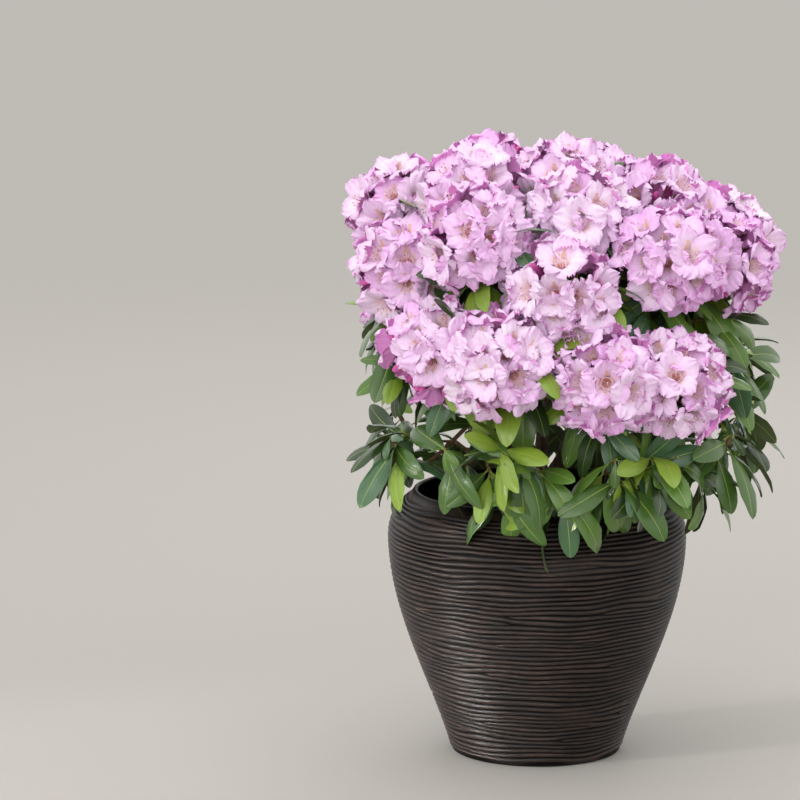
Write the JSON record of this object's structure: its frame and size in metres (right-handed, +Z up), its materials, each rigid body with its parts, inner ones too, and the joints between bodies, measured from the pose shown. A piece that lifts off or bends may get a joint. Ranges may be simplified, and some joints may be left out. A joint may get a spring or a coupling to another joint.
{
  "type": "potted rhododendron",
  "caption": "Domed rhododendron with balls of pale lilac flowers and long green leaves, in a round-bellied, dark brown pot with a ribbed side.",
  "frame": {"origin": "middle of the pot's flat underside", "axes": "+Z up along the pot's axis, -Y towards the viewer of the picture, +X to the viewer's right"},
  "size_m": [0.6249, 0.6294, 0.8331],
  "materials": {
    "pot": "dark brown, ribbed, satin",
    "soil": "moist potting soil",
    "bark": "brown bark",
    "blossom_and_leaf": "pale lilac petals and green leaves"
  },
  "bodies": {
    "root": {"pot": "pot", "soil": "soil", "trunk": "bark", "main_stem_1": "bark", "main_stem_2": "bark", "main_stem_3": "bark", "main_stem_4": "bark", "main_stem_5": "bark", "top_bough_1": "bark", "shoulder_bough_1": "bark", "shoulder_bough_2": "bark", "shoulder_bough_3": "bark", "shoulder_bough_4": "bark", "skirt_bough_1": "bark", "skirt_bough_2": "bark", "skirt_bough_3": "bark", "skirt_bough_4": "bark", "skirt_bough_5": "bark", "top_mass_1": "blossom_and_leaf", "shoulder_mass_1": "blossom_and_leaf", "shoulder_mass_2": "blossom_and_leaf", "shoulder_mass_3": "blossom_and_leaf", "shoulder_mass_4": "blossom_and_leaf", "skirt_mass_1": "blossom_and_leaf", "skirt_mass_2": "blossom_and_leaf", "skirt_mass_3": "blossom_and_leaf", "skirt_mass_4": "blossom_and_leaf", "skirt_mass_5": "blossom_and_leaf"}
  },
  "joints": []
}
